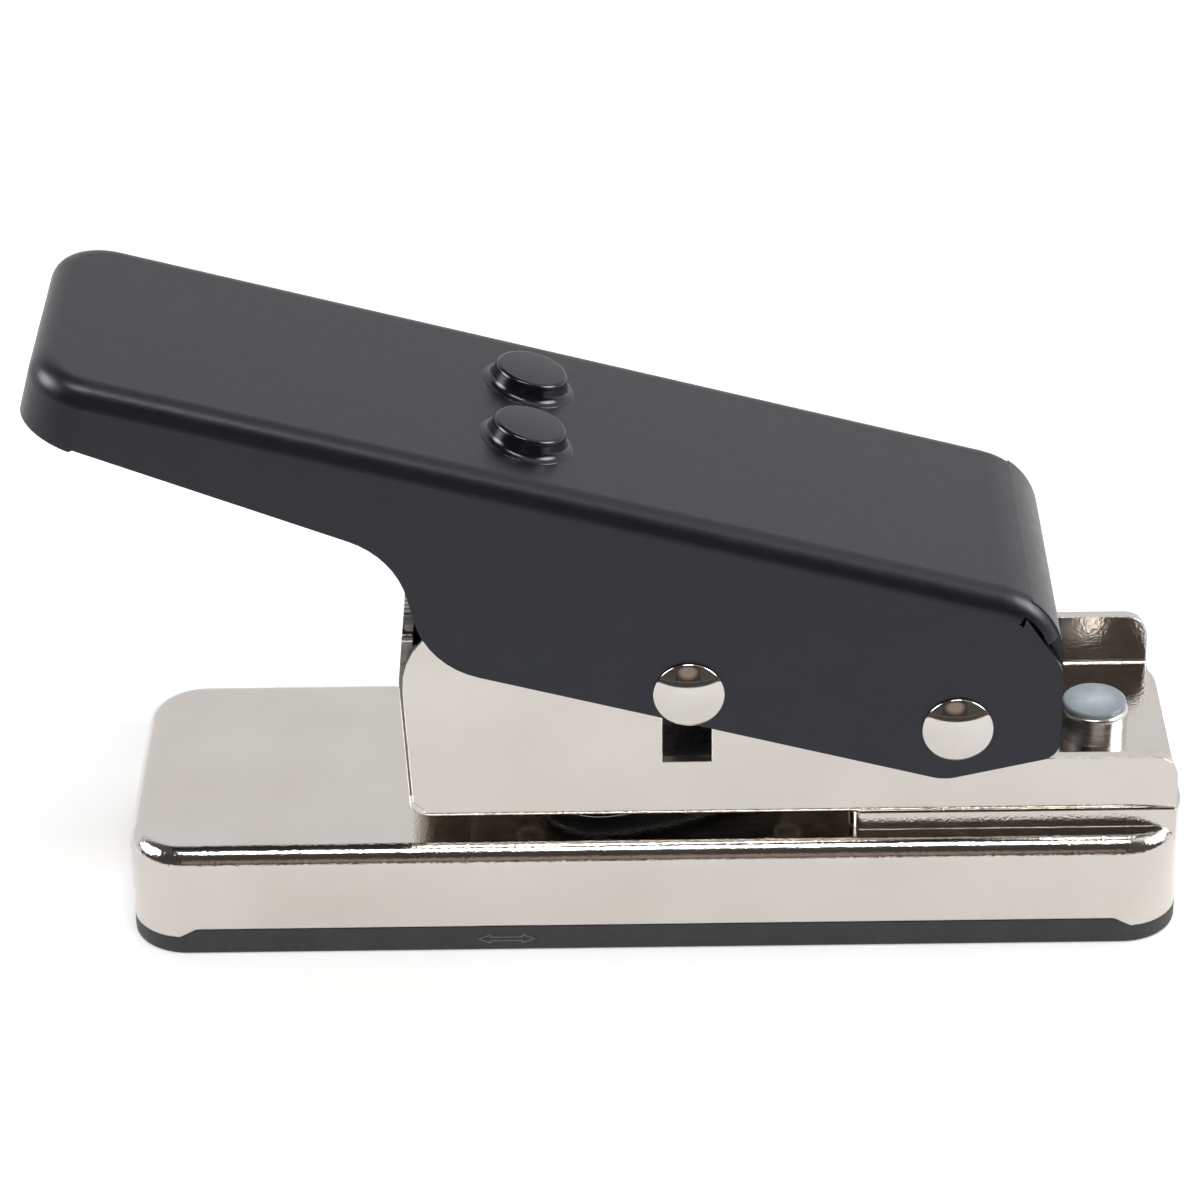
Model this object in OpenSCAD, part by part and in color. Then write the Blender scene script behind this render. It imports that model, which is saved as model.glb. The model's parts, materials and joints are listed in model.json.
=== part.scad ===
// Hand-pressed punch that cuts guitar picks out of plastic cards: a lever on a sheet-metal frame and base.
// X runs from the lever's free end towards its pivot end, Y runs across and Z points up.
// The origin is the middle of the underside, on the table. All sizes are in millimetres.

/* [Base] */
// Length of the base
base_l = 130.5; // [118:0.5:160]
// Width of the base
base_w = 41; // [40:0.5:60]
// Height of the deck above the table
base_h = 14.8; // [13:0.1:24]
// Sheet thickness of the base
base_t = 1.2; // [0.8:0.1:1.5]
// Corner radius of the base in plan
base_corner_r = 7.2; // [5:0.1:10]
// Radius of the base's upper edge
base_edge_r = 2.3; // [1.8:0.1:3.5]
// Height of the skirt's lower edge above the table
skirt_z = 3.7; // [3:0.1:5]
// How far the skirt hangs lower round its corners
corner_drop = 1.2; // [0.6:0.1:1.5]
// Height of the slot that takes the card
card_gap = 2.4; // [1.8:0.1:4]
// Front end of the raised platform, behind the middle of the base
platform_x = 24.3; // [22:0.1:27]
// Width of the raised platform
platform_w = 33.4; // [32:0.1:36]

/* [Chip tray] */
// Thickness of the tray's floor
tray_floor_t = 1.8; // [1.2:0.1:2.4]
// Thickness of the lip that goes up inside the skirt
tray_lip_t = 1.2; // [1:0.1:1.6]
// Height of the lip's top above the table
tray_lip_z = 8.6; // [7:0.1:9.5]
// Radius of the tray's lower edge
tray_edge_r = 0.4; // [0.3:0.1:1.2]

/* [Frame] */
// Gap between each side wall of the frame and the handle's wall outside it
side_gap = 0.5; // [0.4:0.05:0.8]
// Sheet thickness of the frame
frame_t = 1.4; // [1:0.1:1.6]
// Outer radius of the frame's bends
frame_bend_r = 1.8; // [1.7:0.1:2.4]
// Distance of the front wall's foot ahead of the middle of the base
frame_front = 30; // [29:0.1:36]
// Forward lean of the front wall in degrees
front_lean = 2.5; // [0:0.5:4]
// Setback of the frame's rear end from the base's rear end
frame_setback = 1; // [0.3:0.1:3]
// Height of the side walls in the middle
wall_h = 29.3; // [28:0.1:30.5]
// Height of the side walls behind the handle
low_wall_h = 8.2; // [6:0.1:9]
// Setback of the side walls' front edges from the front wall's outer face
wall_setback = 0.5; // [0.3:0.1:1]
// Radius of the side walls' upper front corner
wall_front_r = 10; // [6:0.5:14]
// Height of the front wall's shoulders
front_h = 26; // [24:0.1:27]
// Width of the tongue on top of the front wall
tongue_w = 23.2; // [16:0.1:26]
// Height of the tongue above the shoulders
tongue_h = 4.3; // [2:0.1:4.5]

/* [Lever] */
// Distance of the pivot behind the middle of the base
pivot_x = 36.9; // [36:0.1:38]
// Height of the pivot above the frame's underside
pivot_h = 13.8; // [13:0.1:14.5]
// Radius of the pivot pin
pivot_r = 2.5; // [2.2:0.1:2.8]
// Distance of the drive pin behind the middle of the base
pin_x = 4.4; // [3.5:0.1:5]
// Height of the drive pin above the frame's underside
pin_h = 19.25; // [18.5:0.05:20]
// Radius of the drive pin
pin_r = 2.5; // [2.2:0.1:2.7]
// Radius of the rivet heads on the pins
head_r = 4.35; // [3.8:0.05:4.6]
// Height of the rivet heads on the pins
head_h = 1.5; // [1:0.1:2]
// Rest angle of the handle in degrees
handle_tilt = 15.3; // [14.5:0.1:16]
// Travel of the handle in degrees
handle_travel = 13.5; // [11:0.5:13.5]

/* [Handle] */
// Width of the handle
handle_w = 39; // [38.8:0.1:44]
// Sheet thickness of the handle
handle_t = 1.4; // [1:0.1:1.5]
// Height of the handle's top above the pivot
handle_top = 19.1; // [18.6:0.1:22]
// Reach of the handle ahead of the pivot
handle_front = 118; // [100:0.5:140]
// Distance of the rear flange behind the pivot
handle_rear = 10.2; // [10:0.1:11]
// Corner radius of the handle's front end in plan
handle_corner_r = 7.5; // [5:0.5:10]
// Outer radius of the handle's upper edges
handle_edge_r = 2.8; // [2.2:0.1:4]
// Outer radius of the bend at the rear flange
rear_bend_r = 9.8; // [9:0.1:10]
// Depth of the handle's walls at the front end
front_depth = 7.9; // [6:0.1:10]
// Depth of the handle's walls at the neck
neck_depth = 12.8; // [11:0.1:15]
// Distance of the neck ahead of the pivot
neck_x = 71.4; // [70:0.1:80]
// Distance of the lobe's lower front corner ahead of the pivot
lobe_x = 64.2; // [60:0.1:66]
// Depth of the lobe below the pivot
lobe_drop = 7.4; // [6.5:0.1:7.6]
// Radius of the two curves between the neck and the lobe
neck_r = 11; // [6:0.5:11]

/* [Return springs] */
// Wire diameter of the springs
wire_d = 1.1; // [0.8:0.1:1.3]
// Mean coil diameter of the springs
coil_d = 7.5; // [7:0.1:8]
// Number of turns in each spring
turns = 13; // [10:1:15]
// Distance of each spring from the middle plane
spring_y = 7.2; // [6:0.1:8.5]
// Distance of the springs' feet ahead of the middle of the base
spring_foot = 23.2; // [22.8:0.1:24]
// Distance of the spring posts ahead of the pivot
post_x = 58.7; // [57:0.1:60]
// Radius of the heads of the spring posts
post_head_r = 4.5; // [4:0.1:4.8]
// Radius of the raised bosses under those heads, at their flared feet
boss_r = 5.4; // [5.2:0.1:5.8]
// Height of the raised bosses
boss_h = 1.1; // [0.8:0.1:1.5]

/* [Pick] */
// Length of the pick
pick_l = 30.5; // [28:0.1:31.5]
// Width of the pick
pick_w = 26; // [23:0.1:27]
// Distance of the pick's round back ahead of the middle of the base
pick_back = 14.6; // [14:0.1:15.4]
// Radius of the pick's tip
tip_r = 4; // [2.5:0.1:5]
// Radius of the pick's shoulders
shoulder_r = 7; // [5:0.1:8]
// Radius of the pick's sides
side_r = 36; // [30:1:60]
// Radius of the pick's back
back_r = 26; // [22:0.5:40]

/* [Punch] */
// Thickness of the guide plate on the frame's floor
guide_t = 4.5; // [3:0.1:4.8]
// Thickness of the die plate under the deck
die_t = 3.2; // [2:0.1:3.6]
// Hollow of the punch's cutting face
shear_hollow = 0.8; // [0.2:0.1:1.2]
// Length of the punch carrier
carrier_l = 22; // [20:0.5:23]
// Thickness of the carrier above and below the drive pin's middle
carrier_half_h = 4.5; // [4:0.1:4.6]

/* [Rear stud] */
// Setback of the stud's middle from the base's rear end
stud_setback = 9.5; // [7:0.1:12]
// Radius of the stud
stud_r = 3.9; // [3:0.1:4.5]
// Height of the stud above the frame's floor
stud_h = 3; // [2:0.1:4]
// Thickness of the stud's clear cap
cap_h = 1.5; // [1:0.1:2]

/* [Clearances] */
// Running clearance of the pins
run_gap = 0.06; // [0.02:0.01:0.1]
// Clearance of the punch in its guide and its die
punch_gap = 0.1; // [0.05:0.01:0.12]
// Clearance between sliding flat faces
slide_gap = 0.3; // [0.2:0.05:0.4]
// Clearance of rivets and screws in their holes
rivet_gap = 0.03; // [0.02:0.01:0.05]
// Gap between the skirt and the chip tray
tray_gap = 0.15; // [0.1:0.05:0.3]

/* [Hidden] */
$fn = 64;

// Small distance by which cutting bodies run past the faces that they cut
cut = 1;
// A depth that is sure to pass through the whole object
through = 300;
// Points in each rounded corner of an outline
corner_steps = 8;

// Heights of the stacked pieces
deck_under = base_h - base_t;
floor_z = base_h + card_gap;
floor_top = floor_z + frame_t;
guide_top = floor_top + guide_t;
pivot_z = floor_z + pivot_h;
pin_z = floor_z + pin_h;

// Widths and ends of the frame
frame_w = handle_w - 2 * (handle_t + side_gap);
frame_inner = frame_w - 2 * frame_t;
frame_rear_x = base_l / 2 - frame_setback;
front_x = -frame_front;
stud_x = base_l / 2 - stud_setback;

// Lever geometry: the drive pin as seen from the pivot, and how far it drops
pin_dx = pin_x - pivot_x;
pin_dz = pin_z - pivot_z;
pin_arm = norm([pin_dx, pin_dz]);
pin_angle = atan2(pin_dz, -pin_dx);
stroke = pin_arm * (sin(pin_angle) - sin(pin_angle - handle_travel));
pin_sway = pin_arm * (1 - cos(max(pin_angle, handle_travel - pin_angle)));

// The drive pin in the handle's own axes, along the handle and square to it
pin_u = pin_dx * cos(handle_tilt) - pin_dz * sin(handle_tilt);
pin_v = pin_dx * sin(handle_tilt) + pin_dz * cos(handle_tilt);

// Punch and carrier at rest: the cutting edge waits just inside the frame's floor
punch_rest_z = floor_z + 0.4;
carrier_low = pin_z - carrier_half_h;
carrier_high = pin_z + carrier_half_h;
carrier_w = frame_inner - 2 * slide_gap;
carrier_screw_x = carrier_l / 3;
screw_r = 1.9;
screw_head_r = 3.4;
screw_head_h = 3.6;
screw_depth = 9;

// Plates round the pick's outline
plate_margin = 3.4;
plate_front = -pick_back - plate_margin;
plate_rear = pick_l - pick_back + plate_margin;
plate_rivet_r = 1.5;
rivet_inset = 2.7;
guide_w = frame_inner - 0.4;
die_w = base_w - 2 * base_edge_r - 2;
die_rear = min(plate_rear + 2, platform_x - base_t - 0.4);
die_front = plate_front - 5;
die_rivet_y = 8;

// Fasteners of the frame
frame_rivet_r = 1.8;
frame_rivet_x = (plate_rear + pivot_x) / 2 + 1;
frame_rivet_y = 10.5;

// Pins and springs
handle_inner = handle_w - 2 * handle_t;
bend_step = 0.03;
seat_peg_r = coil_d / 2 - wire_d / 2 - 0.6;
seat_peg_h = 2.2;
post_r = coil_d / 2 - wire_d / 2 - 0.6;
post_l = 8;
post_shank_r = 2;
post_head_h = 1.2;
spring_rings = 8;
spring_sides = 6;
seat_gap = 0.25;

// A point and a radius for each corner become an outline with round corners
function unit(v) = v / norm(v);
function corner_arc(a, b, c, r) =
    let (
        to_a = unit(a - b),
        to_c = unit(c - b),
        half = acos(max(-1, min(1, to_a * to_c))) / 2,
        reach = r / tan(half),
        middle = b + unit(to_a + to_c) * (r / sin(half)),
        from = b + to_a * reach - middle,
        to = b + to_c * reach - middle,
        first = atan2(from[1], from[0]),
        turn = atan2(from[0] * to[1] - from[1] * to[0], from * to)
    )
    [
        for (i = [0 : corner_steps])
        let (w = first + turn * i / corner_steps)
        middle + r * [cos(w), sin(w)]
    ];
function rounded(points) =
    let (n = len(points))
    [
        for (i = [0 : n - 1])
        let (
            p = points[i],
            a = points[(i + n - 1) % n],
            c = points[(i + 1) % n]
        )
        each p[2] > 0
            ? corner_arc([a[0], a[1]], [p[0], p[1]], [c[0], c[1]], p[2])
            : [[p[0], p[1]]]
    ];

// The pick's outline: six arcs that meet tangentially, grown evenly by g
tip_at = [pick_l - pick_back - tip_r, 0];
back_at = [back_r - pick_back, 0];
shoulder_at = [
    back_at[0] - sqrt(pow(back_r - shoulder_r, 2) - pow(pick_w / 2 - shoulder_r, 2)),
    pick_w / 2 - shoulder_r
];
function meet_below(p, rp, q, rq) =
    let (
        d = norm(q - p),
        a = (rp * rp - rq * rq + d * d) / (2 * d),
        h = sqrt(rp * rp - a * a),
        along = unit(q - p),
        mid = p + along * a,
        side = [-along[1], along[0]],
        one = mid + side * h,
        two = mid - side * h
    )
    one[1] < two[1] ? one : two;
side_at = meet_below(tip_at, side_r - tip_r, shoulder_at, side_r - shoulder_r);
function bearing(from, to) = atan2(to[1] - from[1], to[0] - from[0]);
side_first = bearing(side_at, tip_at);
side_last = bearing(side_at, shoulder_at);
back_first = bearing(back_at, shoulder_at);
function arc(centre, r, from, to, steps) =
    [for (i = [0 : steps - 1]) let (w = from + (to - from) * i / steps) centre + r * [cos(w), sin(w)]];
function flip(points) = [for (i = [len(points) - 1 : -1 : 0]) [points[i][0], -points[i][1]]];
function pick_half(g) = concat(
    arc(tip_at, tip_r + g, 0, side_first, 6),
    arc(side_at, side_r + g, side_first, side_last, 8),
    arc(shoulder_at, shoulder_r + g, side_last, back_first, 8),
    arc(back_at, back_r + g, back_first, 180, 8)
);
function pick_points(g) =
    let (half = pick_half(g))
    concat(
        half,
        [[back_at[0] - back_r - g, 0]],
        flip([for (i = [1 : len(half) - 1]) half[i]])
    );

// A flat outline in X and Z becomes a slab across Y
module across(width) {
    rotate([90, 0, 0])
        linear_extrude(height = width, center = true)
            children();
}

// Places its children in the handle's own axes, which turn about the pivot
module on_handle() {
    translate([pivot_x, 0, pivot_z])
        rotate([0, handle_tilt, 0])
            children();
}

// A hole or pin along Y
module cross_pin(r, length) {
    rotate([90, 0, 0])
        cylinder(r = r, h = length, center = true);
}

// Half section of a drawn edge: an upright wall at radius r, a flat top at h and a round edge between them
module edge_profile(r, edge, h) {
    square([r, h - edge]);
    square([r - edge, h]);
    translate([r - edge, h - edge])
        circle(r = edge);
}

// A drawn block: round corners in plan and a round upper edge, closed below at z = 0
module drawn_block(length, width, corner, edge, h) {
    dx = length / 2 - corner;
    dy = width / 2 - corner;
    for (sx = [-1, 1], sy = [-1, 1])
        translate([sx * dx, sy * dy, 0])
            rotate([0, 0, sx > 0 ? (sy > 0 ? 0 : -90) : (sy > 0 ? 90 : 180)])
                rotate_extrude(angle = 90)
                    intersection() {
                        edge_profile(corner, edge, h);
                        square([corner, h]);
                    }
    rotate([90, 0, 90])
        linear_extrude(height = 2 * dx, center = true) {
            intersection() {
                union() {
                    edge_profile(width / 2, edge, h);
                    mirror([1, 0])
                        edge_profile(width / 2, edge, h);
                }
                translate([-width / 2, 0])
                    square([width, h]);
            }
        }
    for (sx = [-1, 1])
        translate([sx * dx, 0, 0])
            mirror([sx < 0 ? 1 : 0, 0, 0])
                across(2 * dy)
                    intersection() {
                        edge_profile(corner, edge, h);
                        square([corner, h]);
                    }
}

// Plan outline of the base, moved in by inset
module base_plan(inset) {
    r = base_corner_r - inset;
    x = base_l / 2 - base_corner_r;
    y = base_w / 2 - base_corner_r;
    square([2 * x, base_w - 2 * inset], center = true);
    square([base_l - 2 * inset, 2 * y], center = true);
    for (sx = [-1, 1], sy = [-1, 1])
        translate([sx * x, sy * y])
            circle(r = r);
}

// The stretch of one side of the skirt, between its corners, up to the height top
module skirt_stretch(half, top) {
    slope = 2.2;
    polygon(rounded([
        [-half - slope, -cut, 0],
        [-half - slope, skirt_z - corner_drop, 0],
        [-half - slope / 2, skirt_z - corner_drop, 0.8],
        [-half + slope / 2, top, 1.2],
        [half - slope / 2, top, 1.2],
        [half + slope / 2, skirt_z - corner_drop, 0.8],
        [half + slope, skirt_z - corner_drop, 0],
        [half + slope, -cut, 0]
    ]));
}

module skirt_stretches(top) {
    across(through)
        skirt_stretch(base_l / 2 - base_corner_r, top);
    rotate([0, 0, 90])
        across(through)
            skirt_stretch(base_w / 2 - base_corner_r, top);
}

module platform(inset, top) {
    corner = 1.6 - inset;
    front = platform_x + inset;
    half = platform_w / 2 - inset;
    linear_extrude(height = top)
        intersection() {
            base_plan(inset);
            union() {
                translate([front + corner, -half])
                    square([base_l, 2 * half]);
                translate([front, -half + corner])
                    square([base_l, 2 * half - 2 * corner]);
                for (side = [-1, 1])
                    translate([front + corner, side * (half - corner)])
                        circle(r = corner);
            }
        }
}

module pick_hole(grow) {
    translate([0, 0, -cut])
        linear_extrude(height = through)
            polygon(pick_points(grow));
}

// Places children at the four corners of a plate
module at_plate_corners(front, rear, width) {
    for (x = [front + rivet_inset, rear - rivet_inset], side = [-1, 1])
        translate([x, side * (width / 2 - rivet_inset), 0])
            children();
}

module base_shell() {
    color("#cdc8c4")
        difference() {
            union() {
                drawn_block(base_l, base_w, base_corner_r, base_edge_r, base_h);
                platform(0, floor_z);
            }
            translate([0, 0, -cut])
                drawn_block(
                    base_l - 2 * base_t, base_w - 2 * base_t,
                    base_corner_r - base_t, base_edge_r - base_t, deck_under + cut
                );
            translate([0, 0, -cut])
                platform(base_t, floor_z - base_t + cut);
            translate([-base_l, -base_w, -cut])
                cube([2 * base_l, 2 * base_w, skirt_z - corner_drop + cut]);
            skirt_stretches(skirt_z);
            pick_hole(punch_gap);
            at_die_rivets()
                die_rivet(rivet_gap);
            frame_rivet_shanks(rivet_gap);
            stud_shank(rivet_gap);
        }
}

module die_plate() {
    color("#8f8f92")
        difference() {
            translate([die_front, -die_w / 2, deck_under - die_t])
                cube([die_rear - die_front, die_w, die_t]);
            pick_hole(punch_gap);
            at_die_rivets()
                die_rivet(rivet_gap);
        }
}

module at_die_rivets() {
    for (x = [die_front + rivet_inset, die_rear - rivet_inset], side = [-1, 1])
        translate([x, side * die_rivet_y, 0])
            children();
}

// Flush rivet with a sunk head in the deck, set flat under the die plate
module die_rivet(grow) {
    sink = 0.9;
    low = deck_under - die_t;
    translate([0, 0, low])
        cylinder(r = plate_rivet_r + grow, h = base_h - low - sink / 2);
    translate([0, 0, base_h - sink])
        cylinder(r1 = plate_rivet_r + grow, r2 = plate_rivet_r + sink + grow, h = sink);
}

module die_rivets() {
    color("#b9b6b2")
        at_die_rivets()
            die_rivet(0);
}

module chip_tray() {
    lip_inset = base_t + tray_gap;
    ring = lip_inset + tray_lip_t;
    rim_low = skirt_z - corner_drop - tray_gap;
    color("#3a3a3b")
        difference() {
            union() {
                intersection() {
                    translate([0, 0, skirt_z + base_edge_r])
                        mirror([0, 0, 1])
                            drawn_block(base_l, base_w, base_corner_r, tray_edge_r, skirt_z + base_edge_r);
                    union() {
                        translate([-base_l, -base_w, -cut])
                            cube([2 * base_l, 2 * base_w, rim_low + cut]);
                        skirt_stretches(skirt_z - tray_gap);
                    }
                }
                translate([0, 0, tray_floor_t])
                    linear_extrude(height = tray_lip_z - tray_floor_t)
                        base_plan(lip_inset);
            }
            translate([0, 0, tray_floor_t])
                linear_extrude(height = through)
                    base_plan(ring);
        }
}

// How far the front wall has leaned forward at a height above the frame's underside: its foot is upright
upright_h = 3;
function lean_at(h) = (h - upright_h) * tan(front_lean);

// Side outline of the frame's flat walls, in X and Z, above their bends
module frame_side() {
    edge_x = front_x + wall_setback;
    high = floor_z + wall_h;
    low = floor_z + low_wall_h;
    ear = 7;
    ear_r = 6;
    slope_start = pivot_x - 13;
    slope_r = 10;
    step_r = 2.5;
    rear_r = 3;
    polygon(rounded([
        [front_x + frame_bend_r, floor_z + frame_bend_r, 0],
        [edge_x, floor_z + upright_h, 0],
        [edge_x - lean_at(wall_h), high, wall_front_r],
        [slope_start, high, slope_r],
        [pivot_x + ear, pivot_z + ear, ear_r],
        [pivot_x + ear, low, step_r],
        [frame_rear_x, low, rear_r],
        [frame_rear_x, floor_z + frame_bend_r, 0]
    ]));
}

// Quarter of a bend in the sheet, with a short straight run at either end
module bend_section(run) {
    inner = frame_bend_r - frame_t;
    difference() {
        intersection() {
            circle(r = frame_bend_r);
            translate([-frame_bend_r, -frame_bend_r])
                square(frame_bend_r);
        }
        circle(r = inner);
    }
    translate([-frame_bend_r, 0])
        square([frame_t, run]);
    translate([0, -frame_bend_r])
        square([run, frame_t]);
}

// Floor, side walls and the bends between the floor and each wall
module frame_channel() {
    run = 0.5;
    half = frame_w / 2 - frame_bend_r;
    front = front_x + frame_bend_r;
    translate([front, -half, floor_z])
        cube([frame_rear_x - front, 2 * half, frame_t]);
    for (side = [-1, 1]) {
        translate([0, side * (frame_w - frame_t) / 2, 0])
            across(frame_t)
                frame_side();
        mirror([0, side > 0 ? 1 : 0, 0])
            translate([front, -half, floor_z + frame_bend_r])
                rotate([90, 0, 90])
                    linear_extrude(height = frame_rear_x - front)
                        bend_section(run);
    }
    translate([front, 0, floor_z + frame_bend_r])
        rotate([90, 0, 0])
            linear_extrude(height = 2 * half, center = true)
                bend_section(run);
}

// Front wall: upright at its foot, then it leans forward, then back, and ends in a narrower tongue
module front_wall() {
    seam = 0.15;
    turn_h = wall_h - wall_front_r;
    top_h = front_h + tongue_h;
    back = (top_h - turn_h) * tan(front_lean + 3);
    turn_x = front_x - lean_at(turn_h);
    half = frame_inner / 2 - seam;
    foot_half = frame_w / 2 - frame_bend_r;
    foot_h = frame_bend_r + 1;
    tongue = tongue_w / 2;
    shoulder_r = 1;
    tip_r = 2;
    intersection() {
        across(frame_w)
            polygon([
                [front_x, floor_z + frame_bend_r],
                [front_x, floor_z + upright_h],
                [turn_x, floor_z + turn_h],
                [turn_x + back, floor_z + top_h],
                [turn_x + back + frame_t, floor_z + top_h],
                [turn_x + frame_t, floor_z + turn_h],
                [front_x + frame_t, floor_z + upright_h],
                [front_x + frame_t, floor_z + frame_bend_r]
            ]);
        translate([front_x - frame_front, 0, floor_z])
            rotate([90, 0, 90])
                linear_extrude(height = 2 * frame_front)
                    polygon(rounded([
                        [-foot_half, 0, 0],
                        [foot_half, 0, 0],
                        [foot_half, foot_h, 0],
                        [half, foot_h, 0],
                        [half, front_h, shoulder_r],
                        [tongue, front_h, shoulder_r],
                        [tongue, top_h, tip_r],
                        [-tongue, top_h, tip_r],
                        [-tongue, front_h, shoulder_r],
                        [-half, front_h, shoulder_r],
                        [-half, foot_h, 0],
                        [-foot_half, foot_h, 0]
                    ]));
    }
}

module frame() {
    slot_w = 2 * pin_r + pin_sway + 2 * slide_gap;
    slot_low = pin_z - stroke - pin_r - 0.6;
    slot_high = pin_z + pin_r + 0.25;
    color("#cfcac5")
        difference() {
            union() {
                frame_channel();
                front_wall();
            }
            translate([pin_x - pin_sway / 2 - slot_w / 2, -frame_w, slot_low])
                cube([slot_w, 2 * frame_w, slot_high - slot_low]);
            translate([pivot_x, 0, pivot_z])
                cross_pin(pivot_r + run_gap, 2 * frame_w);
            pick_hole(slide_gap);
            frame_rivet_shanks(rivet_gap);
            stud_shank(rivet_gap);
            guide_rivet_shanks(rivet_gap);
            seat_shanks(rivet_gap);
        }
}

// Low, flat head with a rounded edge, standing on z = 0
module low_head(r, h, edge) {
    rotate_extrude()
        intersection() {
            edge_profile(r, edge, h);
            square([r, h]);
        }
}

module at_frame_rivets() {
    for (side = [-1, 1])
        translate([frame_rivet_x, side * frame_rivet_y, 0])
            children();
}

module frame_rivet_shanks(grow) {
    at_frame_rivets()
        translate([0, 0, floor_z - base_t])
            cylinder(r = frame_rivet_r + grow, h = base_t + frame_t);
}

module frame_rivets() {
    head = 1.2;
    color("#c4c0bb") {
        frame_rivet_shanks(0);
        at_frame_rivets() {
            translate([0, 0, floor_top])
                low_head(frame_rivet_r + 1, head, 0.8);
            translate([0, 0, floor_z - base_t])
                mirror([0, 0, 1])
                    low_head(frame_rivet_r + 0.7, head * 0.7, 0.4);
        }
    }
}

module at_spring_feet() {
    for (side = [-1, 1])
        translate([-spring_foot, side * spring_y, 0])
            children();
}

module seat_shanks(grow) {
    at_spring_feet()
        translate([0, 0, floor_z])
            cylinder(r = seat_peg_r / 2 + grow, h = frame_t);
}

module spring_seats() {
    color("#b9b6b2") {
        seat_shanks(0);
        at_spring_feet()
            translate([0, 0, floor_top])
                low_head(seat_peg_r, seat_peg_h, 0.8);
    }
}

module guide_rivet_shanks(grow) {
    at_plate_corners(plate_front, plate_rear, guide_w)
        translate([0, 0, floor_z])
            cylinder(r = plate_rivet_r + grow, h = guide_top - floor_z);
}

module guide_plate() {
    color("#85868a")
        difference() {
            translate([plate_front, -guide_w / 2, floor_top])
                cube([plate_rear - plate_front, guide_w, guide_t]);
            pick_hole(punch_gap);
            guide_rivet_shanks(rivet_gap);
        }
}

module guide_rivets() {
    color("#b9b6b2") {
        guide_rivet_shanks(0);
        at_plate_corners(plate_front, plate_rear, guide_w)
            translate([0, 0, guide_top])
                low_head(plate_rivet_r + 0.7, 0.9, 0.6);
    }
}

module stud_shank(grow) {
    translate([stud_x, 0, floor_z - base_t])
        cylinder(r = stud_r / 2 + grow, h = base_t + frame_t);
}

module rear_stud() {
    foot = 0.9;
    color("#bdb9b4") {
        stud_shank(0);
        translate([stud_x, 0, floor_top])
            cylinder(r = stud_r, h = stud_h);
        translate([stud_x, 0, floor_z - base_t])
            mirror([0, 0, 1])
                low_head(stud_r - 0.6, foot, 0.5);
    }
}

module stud_cap() {
    color("#b4bec6", 0.8)
        translate([stud_x, 0, floor_top + stud_h])
            low_head(stud_r + 0.15, cap_h, cap_h * 0.6);
}

// The handle's drawn channel in its own axes, moved in by inset, with an open rear and underside
module handle_block(inset) {
    spare = 20;
    length = 2 * (handle_front + handle_rear + spare);
    depth = handle_top + lobe_drop + spare;
    translate([-handle_front + inset + (length / 2 - inset), 0, handle_top - inset - depth])
        drawn_block(
            length - 2 * inset, handle_w - 2 * inset,
            handle_corner_r - inset, handle_edge_r - inset, depth
        );
}

// Side outline of the handle's walls, in its own axes
module handle_side() {
    notch_u = -handle_front + 7;
    notch_v = handle_top - front_depth - 0.35;
    notch = 0.35;
    heel = 0.5;
    tail = handle_rear + 2.9;
    skin_end = handle_rear - rear_bend_r;
    slit_v = handle_top - 2.25;
    polygon(rounded([
        [-handle_front - cut, handle_top - front_depth, 0],
        [notch_u - notch, notch_v - notch, 0.3],
        [notch_u, notch_v, 0.3],
        [-neck_x, handle_top - neck_depth, neck_r],
        [-lobe_x, -lobe_drop, neck_r - 0.5],
        [heel, -lobe_drop, 6],
        [tail, -0.7, 2.5],
        [handle_rear - 0.3, handle_top - 8, 4],
        [handle_rear - 6.8, slit_v, 0],
        [skin_end, slit_v, 0],
        [skin_end, handle_top + cut, 0],
        [-handle_front - cut, handle_top + cut, 0]
    ]));
}

// Section of the channel's folded edges, as radius and width, for the start of the rear bend
module fold_section(inset) {
    overlap = 0.3;
    edge = handle_edge_r - inset;
    r = rear_bend_r - inset;
    half = handle_w / 2 - inset;
    wall = rear_bend_r - handle_edge_r;
    translate([wall - overlap, -half])
        square([overlap, 2 * half]);
    translate([wall - overlap, -half + edge])
        square([r - wall + overlap, 2 * half - 2 * edge]);
    for (side = [-1, 1])
        translate([wall, side * (half - edge)])
            intersection() {
                circle(r = edge);
                translate([0, -edge])
                    square([edge, 2 * edge]);
            }
}

// A stretch of the rear bend, swept about its own axis between two angles above the handle's plane
module bend_stretch(from, to) {
    translate([handle_rear - rear_bend_r, 0, handle_top - rear_bend_r])
        rotate([90, 0, 0])
            rotate([0, 0, from])
                rotate_extrude(angle = to - from)
                    children();
}

module bend_strip(width, inset) {
    translate([rear_bend_r - handle_t + inset, -width / 2])
        square([handle_t - 2 * inset, width]);
}

// The folded edges' section, cut short: the strip's edges curl down a little beside the open slit
module curled_section(inset) {
    curl = 1.66;
    intersection() {
        difference() {
            fold_section(inset);
            fold_section(handle_t - inset);
        }
        translate([rear_bend_r - curl, -handle_w])
            square([2 * curl, 2 * handle_w]);
    }
}

// Clears the walls under the start of the rear bend, up to the open slit
module rear_relief() {
    slit_start = 3.1;
    bend_u = handle_rear - rear_bend_r;
    bend_v = handle_top - rear_bend_r;
    difference() {
        translate([bend_u, -handle_w, bend_v])
            cube([slit_start, 2 * handle_w, rear_bend_r + cut]);
        translate([bend_u, 0, bend_v])
            cross_pin(rear_bend_r - handle_edge_r, 3 * handle_w);
    }
}

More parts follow.
